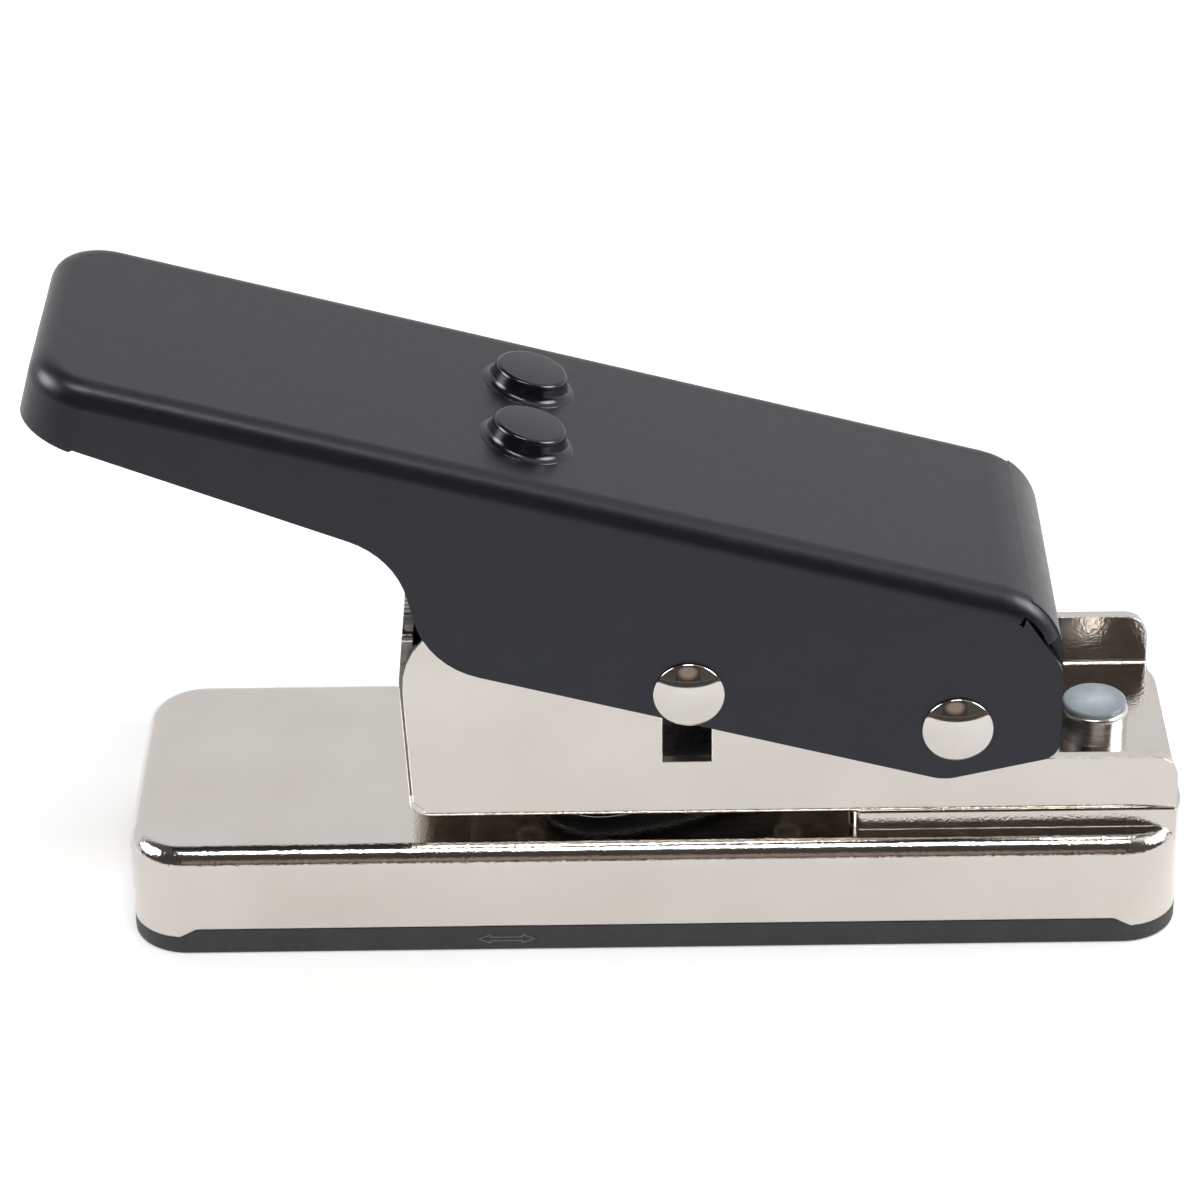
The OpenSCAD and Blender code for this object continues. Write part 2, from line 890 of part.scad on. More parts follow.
// The skin's rear bend: folded edges first, then a free strip with curled edges, then a narrow flange
module rear_flange() {
    slit = 0.35;
    fold_start = 92;
    fold_end = 69;
    wide_end = 34;
    overlap = 2;
    narrow = handle_inner - 2 * slit;
    bend_stretch(fold_end, fold_start)
        difference() {
            fold_section(bend_step);
            fold_section(handle_t - bend_step);
        }
    bend_stretch(0, fold_end)
        bend_strip(narrow, bend_step);
    bend_stretch(wide_end, fold_end + overlap)
        curled_section(2 * bend_step);
    translate([handle_rear - handle_t + 2 * bend_step, -narrow / 2, 0])
        cube([handle_t - 4 * bend_step, narrow, handle_top - rear_bend_r + bend_step * 15]);
}

module at_posts() {
    for (side = [-1, 1])
        translate([-post_x, side * spring_y, handle_top])
            children();
}

// Raised boss with a hollow flare at its foot, rooted in the skin below z = 0
module flared_boss() {
    flare = 1;
    foot = 0.03;
    root = handle_t / 2;
    rotate_extrude()
        difference() {
            translate([0, -root])
                square([boss_r, boss_h + root]);
            translate([boss_r, foot + flare])
                circle(r = flare);
            translate([boss_r - flare, foot + flare])
                square([2 * flare, boss_h]);
        }
}

module handle() {
    color("#47484b")
        on_handle()
            difference() {
                union() {
                    difference() {
                        intersection() {
                            difference() {
                                handle_block(0);
                                handle_block(handle_t);
                            }
                            across(through)
                                handle_side();
                        }
                        rear_relief();
                    }
                    rear_flange();
                    at_posts()
                        flared_boss();
                }
                cross_pin(pivot_r + rivet_gap, 2 * handle_w);
                translate([pin_u, 0, pin_v])
                    cross_pin(pin_r + rivet_gap, 2 * handle_w);
                at_posts()
                    translate([0, 0, -handle_t - cut])
                        cylinder(r = post_shank_r + rivet_gap, h = handle_t + boss_h + 2 * cut);
            }
}

// Shallow domed rivet head on a plane that faces +Z
module domed_head(r, h) {
    rim = h * 0.3;
    dome = h - rim;
    ball = (r * r + dome * dome) / (2 * dome);
    cylinder(r = r, h = rim);
    translate([0, 0, rim])
        intersection() {
            translate([0, 0, dome - ball])
                sphere(r = ball);
            cylinder(r = r + cut, h = h);
        }
}

// Rivet pin through the whole handle with a domed head on either side
module rivet_pin(r) {
    cross_pin(r, handle_w);
    for (side = [-1, 1])
        translate([0, side * handle_w / 2, 0])
            rotate([side * -90, 0, 0])
                domed_head(head_r, head_h);
}

module pivot_pin() {
    color("#cdc8c2")
        on_handle()
            rivet_pin(pivot_r);
}

module drive_pin() {
    color("#cdc8c2")
        on_handle()
            translate([pin_u, 0, pin_v])
                rivet_pin(pin_r);
}

module pivot_sleeve() {
    wall = 1.6;
    color("#a9a7a5")
        on_handle()
            difference() {
                cross_pin(pivot_r + run_gap + wall, frame_inner - 2 * slide_gap);
                cross_pin(pivot_r + run_gap, frame_w);
            }
}

// Flat button with a fully round rim, standing on z = 0
module button_head(r, h) {
    rotate_extrude() {
        square([r - h / 2, h]);
        translate([r - h / 2, h / 2])
            circle(d = h);
    }
}

module spring_posts() {
    color("#3c3d40")
        on_handle()
            at_posts() {
                translate([0, 0, boss_h])
                    button_head(post_head_r, post_head_h);
                translate([0, 0, -handle_t])
                    cylinder(r = post_shank_r, h = handle_t + boss_h);
                translate([0, 0, -handle_t])
                    mirror([0, 0, 1])
                        low_head(post_r, post_l, 0.8);
            }
}

module at_carrier_screws() {
    for (side = [-1, 1])
        translate([pin_x + side * carrier_screw_x, 0, 0])
            children();
}

module punch() {
    hollow_r = (pick_l * pick_l / 4 + shear_hollow * shear_hollow) / (2 * shear_hollow);
    color("#77787c")
        difference() {
            translate([0, 0, punch_rest_z])
                linear_extrude(height = carrier_low - punch_rest_z)
                    polygon(pick_points(0));
            translate([pick_l / 2 - pick_back, 0, punch_rest_z + shear_hollow - hollow_r])
                rotate([90, 0, 0])
                    cylinder(r = hollow_r, h = 2 * pick_w, center = true, $fn = 256);
            at_carrier_screws()
                translate([0, 0, carrier_low - screw_depth])
                    cylinder(r = screw_r + rivet_gap, h = screw_depth + cut);
        }
}

module punch_carrier() {
    hole_h = 2 * pin_r + 0.2;
    hole_l = pin_sway + slide_gap;
    color("#6c6d71")
        difference() {
            translate([pin_x - carrier_l / 2, -carrier_w / 2, carrier_low])
                cube([carrier_l, carrier_w, carrier_high - carrier_low]);
            for (end = [-1, 1])
                translate([pin_x - pin_sway / 2 + end * hole_l / 2, 0, pin_z])
                    cross_pin(hole_h / 2, 2 * carrier_w);
            translate([pin_x - pin_sway / 2 - hole_l / 2, -carrier_w, pin_z - hole_h / 2])
                cube([hole_l, 2 * carrier_w, hole_h]);
            at_carrier_screws() {
                translate([0, 0, carrier_low - cut])
                    cylinder(r = screw_r + rivet_gap, h = carrier_high - carrier_low + 2 * cut);
                translate([0, 0, carrier_high - screw_head_h])
                    cylinder(r = screw_head_r + rivet_gap, h = screw_head_h + cut);
            }
        }
}

module carrier_screws() {
    socket_r = 1.75;
    socket_h = 2;
    color("#4a4b4e")
        at_carrier_screws()
            difference() {
                union() {
                    translate([0, 0, carrier_low - screw_depth])
                        cylinder(r = screw_r, h = screw_depth + carrier_high - carrier_low - screw_head_h);
                    translate([0, 0, carrier_high - screw_head_h])
                        cylinder(r = screw_head_r, h = screw_head_h);
                }
                translate([0, 0, carrier_high - socket_h])
                    cylinder(r = socket_r, h = socket_h + cut, $fn = 6);
            }
}

// The springs' axis: upright at the floor, square to the handle's skin at the top
seat_v = handle_top - handle_t - wire_d / 2 - seat_gap;
spring_low = [-spring_foot, floor_top + wire_d / 2];
spring_high = [
    pivot_x - post_x * cos(handle_tilt) + seat_v * sin(handle_tilt),
    pivot_z + post_x * sin(handle_tilt) + seat_v * cos(handle_tilt)
];
spring_reach = norm(spring_high - spring_low) / 3;
spring_bend = [
    spring_low,
    spring_low + [0, spring_reach],
    spring_high - spring_reach * [sin(handle_tilt), cos(handle_tilt)],
    spring_high
];
function axis_at(t) =
    pow(1 - t, 3) * spring_bend[0] + 3 * pow(1 - t, 2) * t * spring_bend[1]
    + 3 * (1 - t) * t * t * spring_bend[2] + pow(t, 3) * spring_bend[3];
function axis_way(t) = unit(
    pow(1 - t, 2) * (spring_bend[1] - spring_bend[0]) + 2 * (1 - t) * t * (spring_bend[2] - spring_bend[1])
    + t * t * (spring_bend[3] - spring_bend[2])
);

// A point of the wire after a number of turns: half a turn lies flat at either end
function wire_at(turn, y) =
    let (
        t = max(0, min(1, (turn - 0.5) / (turns - 1))),
        c = axis_at(t),
        way = axis_way(t),
        swing = 360 * turn,
        out = coil_d / 2 * cos(swing)
    )
    [c[0] + out * way[1], y + coil_d / 2 * sin(swing), c[1] - out * way[0]];
function wire_points(y) = [for (i = [0 : turns * spring_rings]) wire_at(i / spring_rings, y)];

// One ring of the wire at point i, square to the wire, and the closed tube through all rings
function wire_way(p, i) = unit(p[min(i + 1, len(p) - 1)] - p[max(i - 1, 0)]);
function wire_ring(p, i, y) =
    let (
        way = wire_way(p, i),
        c = axis_at(max(0, min(1, (i / spring_rings - 0.5) / (turns - 1)))),
        spoke = p[i] - [c[0], y, c[1]],
        out = unit(spoke - way * (spoke * way)),
        side = cross(way, out)
    )
    [
        for (k = [0 : spring_sides - 1])
        let (w = 360 * k / spring_sides)
        p[i] + wire_d / 2 * (cos(w) * out + sin(w) * side)
    ];
module return_spring(y) {
    p = wire_points(y);
    n = len(p);
    s = spring_sides;
    rings = [for (i = [0 : n - 1]) each wire_ring(p, i, y)];
    walls = [
        for (i = [0 : n - 2], k = [0 : s - 1])
        let (
            a = i * s + k,
            b = i * s + (k + 1) % s
        )
        each [[a, b + s, b], [a, a + s, b + s]]
    ];
    first_cap = [for (k = [1 : s - 2]) [0, k, k + 1]];
    last_cap = [for (k = [1 : s - 2]) [(n - 1) * s, (n - 1) * s + k + 1, (n - 1) * s + k]];
    color("#c9c6c2")
        polyhedron(points = rings, faces = concat(walls, first_cap, last_cap), convexity = 20);
    gaps = [
        for (i = [0 : n - 1], j = [i + spring_rings / 2 : 1 : n - 1])
        norm(p[i] - p[j]) - wire_d
    ];
    echo(least_spring_gap = min(gaps));
}

module return_spring_near() {
    return_spring(-spring_y);
}

module return_spring_far() {
    return_spring(spring_y);
}

base_shell();
die_plate();
die_rivets();
chip_tray();
frame();
frame_rivets();
spring_seats();
guide_plate();
guide_rivets();
rear_stud();
stud_cap();
handle();
pivot_pin();
pivot_sleeve();
drive_pin();
spring_posts();
punch();
punch_carrier();
carrier_screws();
return_spring_near();
return_spring_far();
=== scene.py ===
"""Looks of a guitar pick punch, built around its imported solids.

The solids keep their places. This script gives each of them a finish, winds the return springs from fine
wire, turns the rivet pins, the painted buttons and the rear stud, adds the sheared edges and the arrow mark,
and sets the floor, the light and the camera.
"""

import json
import math

import bmesh
import bpy
from mathutils import Matrix, Vector


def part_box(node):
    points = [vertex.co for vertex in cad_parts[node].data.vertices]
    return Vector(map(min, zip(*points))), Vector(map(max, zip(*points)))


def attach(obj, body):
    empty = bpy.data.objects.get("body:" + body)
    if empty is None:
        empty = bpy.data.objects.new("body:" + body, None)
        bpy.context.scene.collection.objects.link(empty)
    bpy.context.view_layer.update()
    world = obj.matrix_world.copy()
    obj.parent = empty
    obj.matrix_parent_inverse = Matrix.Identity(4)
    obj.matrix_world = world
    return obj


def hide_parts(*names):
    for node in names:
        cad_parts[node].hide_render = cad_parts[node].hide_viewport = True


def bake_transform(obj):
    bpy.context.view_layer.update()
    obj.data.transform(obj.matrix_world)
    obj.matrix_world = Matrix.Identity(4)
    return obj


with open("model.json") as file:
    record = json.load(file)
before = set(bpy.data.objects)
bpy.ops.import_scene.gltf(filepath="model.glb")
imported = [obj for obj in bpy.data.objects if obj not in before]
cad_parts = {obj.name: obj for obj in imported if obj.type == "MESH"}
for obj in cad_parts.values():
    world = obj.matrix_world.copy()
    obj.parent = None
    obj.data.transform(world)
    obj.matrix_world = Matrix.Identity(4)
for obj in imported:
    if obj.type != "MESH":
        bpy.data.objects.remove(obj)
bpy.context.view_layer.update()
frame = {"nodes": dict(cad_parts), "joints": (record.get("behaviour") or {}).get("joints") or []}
nodes = frame["nodes"]
MM = 0.001
joints = {joint["name"]: joint for joint in frame["joints"]}
PIVOT = Vector(joints["handle_pivot"]["pos_m"])
PIVOT.y = 0

# Top of the frame's floor, which the guide plate lies on
FLOOR_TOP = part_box("guide_plate")[0].z

# Camera, at the photograph's viewing angle
CAMERA_PLACE = Vector((-2.5, -452.6, 302.2)) * MM
CAMERA_YAW = math.radians(-0.477)
CAMERA_PITCH = math.radians(30.24)
CAMERA_ROLL = math.radians(-0.986)
CAMERA_LENS = 126.6
CAMERA_SENSOR = 36.0

# Floor and lights
FLOOR_SIZE = 30.0
FLOOR_COLOUR = (0.95, 0.95, 0.95, 1)
FLOOR_GLOW = 0.48
KEY_PLACE = Vector((0, -0.34, 1.3))
KEY_SIZE = (0.55, 0.26)
KEY_POWER = 6.3
LAMP_PLACES = [Vector((-1.0, -0.02, 0.72)), Vector((1.0, -0.12, 0.68))]
LAMP_SIZE = (0.9, 0.9)
LAMP_GLOW = 14.0
LAMP_FULL = 0.6
MIRROR_BOUNCES = 16
MOST_BOUNCES = 24

# Room that the plating mirrors
WORLD_STRENGTH = 1.0
BACKDROP = (0.95, 0.95, 0.96)
HIGH_BACKDROP = (1.0, 1.0, 1.01)
BRIGHT_CEILING = (1.35, 1.35, 1.36)
PALE_CEILING = (1.2, 1.2, 1.21)
DARK_CEILING = (0.115, 0.11, 0.105)
DARK_WALL = (0.07, 0.064, 0.058)
LOW_WALL = (0.11, 0.095, 0.085)
RIGHT_START = 0.18
RIGHT_END = 0.34
TABLE_FRONT = -0.25
ROOM_REACH = 14.0
BROWN_REACH = 0.3
ROOM_DARK = (0.08, 0.07, 0.064)
ROOM_BROWN = (0.36, 0.26, 0.22)
PANEL_PLACE = Vector((-0.02, -1.5, 0.5))
PANEL_SIZE = (1.1, 0.85)
PANEL_RIM = (0.07, 0.06, 0.055)
PANEL_WARM = (0.40, 0.31, 0.26)

# How far a card reaches from its middle in its own coordinates
CARD_RIM = 0.5

# Range that most of a noise texture's values lie in
NOISE_LOW = 0.3
NOISE_HIGH = 0.7

# Handle's own directions at rest, from the pivot: along it to the front, and out through its top
HANDLE_TILT = math.radians(15.3)
ALONG = Vector((-math.cos(HANDLE_TILT), 0, math.sin(HANDLE_TILT)))
OUT = Vector((math.sin(HANDLE_TILT), 0, math.cos(HANDLE_TILT)))
HANDLE_TOP = 19.1 * MM
POST_X = 58.7 * MM

# Return springs
WIRE_D = 1.1 * MM
COIL_D = 7.5 * MM
TURNS = 13
FLAT_TURN = 0.5
SPRING_Y = 7.2 * MM
SPRING_SEAT_V = 16.9 * MM
RINGS_A_TURN = 28
WIRE_SIDES = 12

# Turned forms: their sides, and how near an edge a ring of points keeps the shading beside it flat
LATHE_SIDES = 72
HEAD_RING = 0.02 * MM
STUD_RING = 0.05 * MM

# Painted buttons on the handle, over the spring posts
BUTTON_TOP_R = 3.6 * MM
BUTTON_CROWN = 70.0 * MM
BUTTON_RIM = 0.95 * MM
BUTTON_H = 2.4 * MM
BUTTON_LEAN = 14
BUTTON_FLARE = 1.1 * MM
BUTTON_FOOT = 0.02 * MM
BUTTON_ROOT = 0.5 * MM

# Rivet pins through the handle
PIN_R = 2.5 * MM
HEAD_R = 4.35 * MM
HEAD_H = 1.5 * MM
HEAD_RIM = 0.15 * MM
HEAD_EDGE = 0.3 * MM

# Stud behind the handle and its cap
STUD_R = 4.25 * MM
STUD_SHOULDER = 0.7 * MM
CAP_R = 4.02 * MM
CAP_H = 0.75 * MM
CAP_EDGE = 0.3 * MM
CAP_CROWN = 0.06 * MM
CAP_TAPER = 0.05 * MM
CAP_SINK = 0.1 * MM

# Sheared edges of the frame's front wall and of its tongue
FRONT_X = -30.0 * MM
SHEET = 1.4 * MM
EDGE_Y = 16.05 * MM
TONGUE_Y = 11.6 * MM
CORNER_R = 1.0 * MM
TIP_R = 2.0 * MM
UPRIGHT_Z = 20.2 * MM
TURN_Z = 36.5 * MM
SHOULDER_Z = 43.2 * MM
TIP_Z = 47.5 * MM
WALL_LEAN = math.tan(math.radians(2.5))
TONGUE_LEAN = math.tan(math.radians(5.5))
RIDGE_PITCH = 0.56 * MM
RIDGE_DEPTH = 0.04 * MM
EDGE_INSET = 0.04 * MM
EDGE_PROUD = 0.01 * MM

# Arrow mark on the tray's near side
ARROW_MIDDLE = Vector((-18.45, -20.5, 1.75)) * MM
ARROW_HALF = 3.5 * MM
ARROW_HEAD = 1.5 * MM
ARROW_RISE = 0.6 * MM
ARROW_SHAFT = 0.26 * MM
ARROW_LINE = 0.13 * MM
ARROW_PROUD = 0.06 * MM


# Helpers for node materials
def start_material(name):
    """A new material, its node tree and its main shader."""
    material = bpy.data.materials.new(name)
    material.use_nodes = True
    tree = material.node_tree
    return material, tree, tree.nodes["Principled BSDF"]


def noise(tree, size, detail=2.0, stretch=(1, 1, 1)):
    """Noise in the part's own coordinates, with features of about the given size."""
    place = tree.nodes.new("ShaderNodeTexCoord")
    mapping = tree.nodes.new("ShaderNodeMapping")
    mapping.inputs["Scale"].default_value = [1 / s for s in stretch]
    texture = tree.nodes.new("ShaderNodeTexNoise")
    texture.inputs["Scale"].default_value = 1 / size
    texture.inputs["Detail"].default_value = detail
    tree.links.new(place.outputs["Object"], mapping.inputs["Vector"])
    tree.links.new(mapping.outputs["Vector"], texture.inputs["Vector"])
    return texture.outputs["Fac"]


def spread(tree, value, low, high, start=NOISE_LOW, end=NOISE_HIGH):
    """The value, spread from the range between start and end over the one between low and high."""
    node = tree.nodes.new("ShaderNodeMapRange")
    node.inputs["From Min"].default_value = start
    node.inputs["From Max"].default_value = end
    node.inputs["To Min"].default_value = low
    node.inputs["To Max"].default_value = high
    tree.links.new(value, node.inputs["Value"])
    return node.outputs["Result"]


def two_colours(tree, value, first, second, start=NOISE_LOW, end=NOISE_HIGH):
    """A colour between two, by the value."""
    ramp = tree.nodes.new("ShaderNodeValToRGB")
    ramp.color_ramp.elements[0].position = start
    ramp.color_ramp.elements[0].color = (*first, 1)
    ramp.color_ramp.elements[1].position = end
    ramp.color_ramp.elements[1].color = (*second, 1)
    tree.links.new(value, ramp.inputs["Fac"])
    return ramp.outputs["Color"]


def rounded_edges(tree, radius):
    """A normal that rounds sharp edges to the given radius."""
    rounding = tree.nodes.new("ShaderNodeBevel")
    rounding.samples = 6
    rounding.inputs["Radius"].default_value = radius
    return rounding.outputs["Normal"]


def relief(tree, shader, layers, normal=None):
    """Bumps on the shader's normal, or on the one given.

    Each layer is a height, its depth and its strength.
    """
    for height, depth, strength in layers:
        bump = tree.nodes.new("ShaderNodeBump")
        bump.inputs["Distance"].default_value = depth
        bump.inputs["Strength"].default_value = strength
        tree.links.new(height, bump.inputs["Height"])
        if normal:
            tree.links.new(normal, bump.inputs["Normal"])
        normal = bump.outputs["Normal"]
    tree.links.new(normal, shader.inputs["Normal"])


# Finishes
def plated_nickel():
    """Bright nickel plating on drawn and bent sheet: faint warm clouds, soft waves and a fine grain."""
    material, tree, shader = start_material("plated_nickel")
    clouds = noise(tree, 14 * MM, detail=4)
    colour = two_colours(tree, clouds, (0.585, 0.548, 0.508), (0.625, 0.592, 0.556))
    tree.links.new(colour, shader.inputs["Base Color"])
    haze = noise(tree, 3 * MM, detail=3)
    tree.links.new(spread(tree, haze, 0.07, 0.13), shader.inputs["Roughness"])
    shader.inputs["Metallic"].default_value = 1.0
    waves = noise(tree, 11 * MM, detail=1)
    grain = noise(tree, 0.35 * MM, detail=2)
    layers = [(waves, 0.03 * MM, 0.3), (grain, 0.045 * MM, 0.7)]
    relief(tree, shader, layers, rounded_edges(tree, 0.22 * MM))
    return material


def polished_nickel():
    """The same plating on the smooth rivet heads, without waves or grain."""
    material, tree, shader = start_material("polished_nickel")
    clouds = noise(tree, 5 * MM, detail=3)
    colour = two_colours(tree, clouds, (0.60, 0.565, 0.53), (0.64, 0.61, 0.58))
    tree.links.new(colour, shader.inputs["Base Color"])
    haze = noise(tree, 1.5 * MM, detail=3)
    tree.links.new(spread(tree, haze, 0.05, 0.09), shader.inputs["Roughness"])
    shader.inputs["Metallic"].default_value = 1.0
    return material


def turned_nickel():
    """Plating over fine turning marks: softer reflections."""
    material, tree, shader = start_material("turned_nickel")
    marks = noise(tree, 0.25 * MM, detail=3, stretch=(40, 40, 1))
    colour = two_colours(tree, marks, (0.60, 0.58, 0.56), (0.70, 0.68, 0.66))
    tree.links.new(colour, shader.inputs["Base Color"])
    tree.links.new(spread(tree, marks, 0.17, 0.26), shader.inputs["Roughness"])
    shader.inputs["Metallic"].default_value = 1.0
    relief(tree, shader, [(marks, 0.004 * MM, 0.4)])
    return material


def black_paint(name, low, high):
    """Baked black paint with a fine even peel, whose roughness lies between low and high."""
    material, tree, shader = start_material(name)
    tone = noise(tree, 6 * MM, detail=4)
    colour = two_colours(tree, tone, (0.0050, 0.0053, 0.0088), (0.0068, 0.0071, 0.0108))
    tree.links.new(colour, shader.inputs["Base Color"])
    haze = noise(tree, 1.4 * MM, detail=3)
    tree.links.new(spread(tree, haze, low, high), shader.inputs["Roughness"])
    shader.inputs["IOR"].default_value = 1.47
    shader.inputs["Specular Tint"].default_value = (0.90, 0.93, 1.0, 1)
    peel = noise(tree, 0.6 * MM, detail=1)
    relief(tree, shader, [(peel, 0.006 * MM, 0.25)])
    return material


def moulded_plastic():
    """Black moulded plastic with a fine spark-eroded grain."""
    material, tree, shader = start_material("moulded_plastic")
    tone = noise(tree, 5 * MM, detail=3)
    colour = two_colours(tree, tone, (0.028, 0.028, 0.030), (0.037, 0.037, 0.039))
    tree.links.new(colour, shader.inputs["Base Color"])
    haze = noise(tree, 0.8 * MM, detail=2)
    tree.links.new(spread(tree, haze, 0.48, 0.62), shader.inputs["Roughness"])
    grain = noise(tree, 0.16 * MM, detail=2)
    relief(tree, shader, [(grain, 0.012 * MM, 0.5)], rounded_edges(tree, 0.15 * MM))
    return material


def pale_arrow_plastic():
    """The tray's plastic where it stands proud, in a lighter tone."""
    material, tree, shader = start_material("pale_arrow_plastic")
    tone = noise(tree, 0.5 * MM, detail=3)
    colour = two_colours(tree, tone, (0.10, 0.101, 0.104), (0.21, 0.212, 0.216))
    tree.links.new(colour, shader.inputs["Base Color"])
    tree.links.new(spread(tree, tone, 0.45, 0.6), shader.inputs["Roughness"])
    return material


def clear_cap():
    """Milky soft plastic with a clouded middle."""
    material, tree, shader = start_material("clear_cap")
    low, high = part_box("stud_cap")
    place = tree.nodes.new("ShaderNodeTexCoord")
    centred = tree.nodes.new("ShaderNodeMapping")
    centred.vector_type = "TEXTURE"
    centred.inputs["Location"].default_value = ((low.x + high.x) / 2, 0, high.z)
    centred.inputs["Scale"].default_value = [CAP_R] * 3
    fade = tree.nodes.new("ShaderNodeTexGradient")
    fade.gradient_type = "SPHERICAL"
    tree.links.new(place.outputs["Object"], centred.inputs["Vector"])
    tree.links.new(centred.outputs["Vector"], fade.inputs["Vector"])
    milk = noise(tree, 2.2 * MM, detail=3)
    cloud = tree.nodes.new("ShaderNodeMath")
    cloud.operation = "MULTIPLY"
    tree.links.new(fade.outputs["Fac"], cloud.inputs[0])
    tree.links.new(milk, cloud.inputs[1])
    thin = (0.38, 0.44, 0.49)
    thick = (0.70, 0.75, 0.78)
    colour = two_colours(tree, cloud.outputs["Value"], thin, thick, start=0.1, end=0.5)
    tree.links.new(colour, shader.inputs["Base Color"])
    haze = noise(tree, 0.9 * MM, detail=2)
    tree.links.new(spread(tree, haze, 0.10, 0.20), shader.inputs["Roughness"])
    shader.inputs["IOR"].default_value = 1.43
    return material


def ground_steel():
    """Hardened tool steel with fine grinding lines."""
    material, tree, shader = start_material("ground_steel")
    tone = noise(tree, 4 * MM, detail=4)
    colour = two_colours(tree, tone, (0.46, 0.46, 0.47), (0.56, 0.56, 0.57))
    tree.links.new(colour, shader.inputs["Base Color"])
    shader.inputs["Metallic"].default_value = 1.0
    lines = noise(tree, 0.3 * MM, detail=3, stretch=(30, 1, 1))
    tree.links.new(spread(tree, lines, 0.24, 0.40), shader.inputs["Roughness"])
    relief(tree, shader, [(lines, 0.006 * MM, 0.5)], rounded_edges(tree, 0.1 * MM))
    return material


def spring_wire():
    """Drawn spring wire, oiled and slightly dark."""
    material, tree, shader = start_material("spring_wire")
    tone = noise(tree, 2 * MM, detail=3)
    colour = two_colours(tree, tone, (0.36, 0.35, 0.34), (0.48, 0.47, 0.45))
    tree.links.new(colour, shader.inputs["Base Color"])
    shader.inputs["Metallic"].default_value = 1.0
    haze = noise(tree, 0.5 * MM, detail=2)
    tree.links.new(spread(tree, haze, 0.2, 0.34), shader.inputs["Roughness"])
    return material


def sheared_nickel_in_painted_shade():
    """Plating on a torn sheet edge: dull and streaked through the thickness, and darkened with painted
    shade.
    """
    material, tree, shader = start_material("sheared_edge_painted_shade")
    streaks = noise(tree, 0.3 * MM, detail=3, stretch=(6, 6, 1))
    # Painted shade: these dark colours stand in for the shade the edge lies in; the streaks are its own
    colour = two_colours(tree, streaks, (0.10, 0.095, 0.088), (0.24, 0.23, 0.215))
    tree.links.new(colour, shader.inputs["Base Color"])
    tree.links.new(spread(tree, streaks, 0.30, 0.46), shader.inputs["Roughness"])
    shader.inputs["Metallic"].default_value = 1.0
    relief(tree, shader, [(streaks, 0.02 * MM, 0.4)])
    return material


def notched_nickel_painted_light():
    """The tongue's torn edge, pale with painted light where it catches the light, with fine dark lines of
    painted shade across the sheet between its ridges.
    """
    material, tree, shader = start_material("notched_edge_painted_light")
    place = tree.nodes.new("ShaderNodeTexCoord")
    lines = tree.nodes.new("ShaderNodeTexWave")
    lines.bands_direction = "Z"
    # At a scale of one, this texture's bands repeat after a tenth of pi
    lines.inputs["Scale"].default_value = math.pi / 10 / RIDGE_PITCH
    tree.links.new(place.outputs["Object"], lines.inputs["Vector"])
    # Painted light and shade: pale for the light the ridges catch, dark lines for the shade between them
    dark = (0.14, 0.125, 0.11)
    pale = (0.97, 0.94, 0.89)
    colour = two_colours(tree, lines.outputs["Fac"], dark, pale, start=0.10, end=0.40)
    tree.links.new(colour, shader.inputs["Base Color"])
    tree.links.new(spread(tree, lines.outputs["Fac"], 0.5, 0.3), shader.inputs["Roughness"])
    return material


def black_oxide():
    """Blackened screw steel."""
    material, tree, shader = start_material("black_oxide")
    tone = noise(tree, 1.5 * MM, detail=3)
    colour = two_colours(tree, tone, (0.030, 0.030, 0.033), (0.055, 0.055, 0.060))
    tree.links.new(colour, shader.inputs["Base Color"])
    shader.inputs["Metallic"].default_value = 0.8
    haze = noise(tree, 0.4 * MM, detail=2)
    tree.links.new(spread(tree, haze, 0.3, 0.45), shader.inputs["Roughness"])
    return material


FINISHES = {
    "nickel": plated_nickel(),
    "black_paint": black_paint("satin_black_paint", 0.32, 0.38),
    "gloss_black": black_paint("gloss_black_paint", 0.16, 0.22),
    "black_plastic": moulded_plastic(),
    "clear_plastic": clear_cap(),
    "tool_steel": ground_steel(),
    "spring_steel": spring_wire(),
    "black_screws": black_oxide(),
}
POLISHED = polished_nickel()
TURNED = turned_nickel()
PALE_ARROW = pale_arrow_plastic()
SHADED_SHEARED_EDGE = sheared_nickel_in_painted_shade()
NOTCHED_EDGE_PAINTED_LIGHT = notched_nickel_painted_light()


def dress_nodes():
    """Each solid takes the finish of its slot in the record."""
    for node in nodes.values():
        slot = node.data.materials[0].name
        node.data.materials[0] = FINISHES[slot]


# Pieces made here
def make_piece(name, mesh, finish):
    """A mesh becomes a piece with its finish."""
    bmesh.ops.recalc_face_normals(mesh, faces=mesh.faces)
    data = bpy.data.meshes.new(name)
    mesh.to_mesh(data)
    mesh.free()
    data.materials.append(finish)
    piece = bpy.data.objects.new(name, data)
    bpy.context.scene.collection.objects.link(piece)
    return piece


def add_piece(name, mesh, finish, body):
    """A piece that rides on a body."""
    piece = make_piece(name, mesh, finish)
    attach(piece, body)
    return piece


# Return springs
def spring_axis(low):
    """The four control points of a spring's axis: upright at the floor, square to the handle at the top."""
    high = PIVOT + POST_X * ALONG + SPRING_SEAT_V * OUT
    reach = (high - low).length / 3
    return low, low + Vector((0, 0, reach)), high - reach * OUT, high


def bezier(points, t):
    """A point of the cubic curve and its direction there."""
    a, b, c, d = points
    place = (1 - t) ** 3 * a + 3 * (1 - t) ** 2 * t * b + 3 * (1 - t) * t * t * c + t**3 * d
    way = (1 - t) ** 2 * (b - a) + 2 * (1 - t) * t * (c - b) + t * t * (d - c)
    return place, way.normalized()


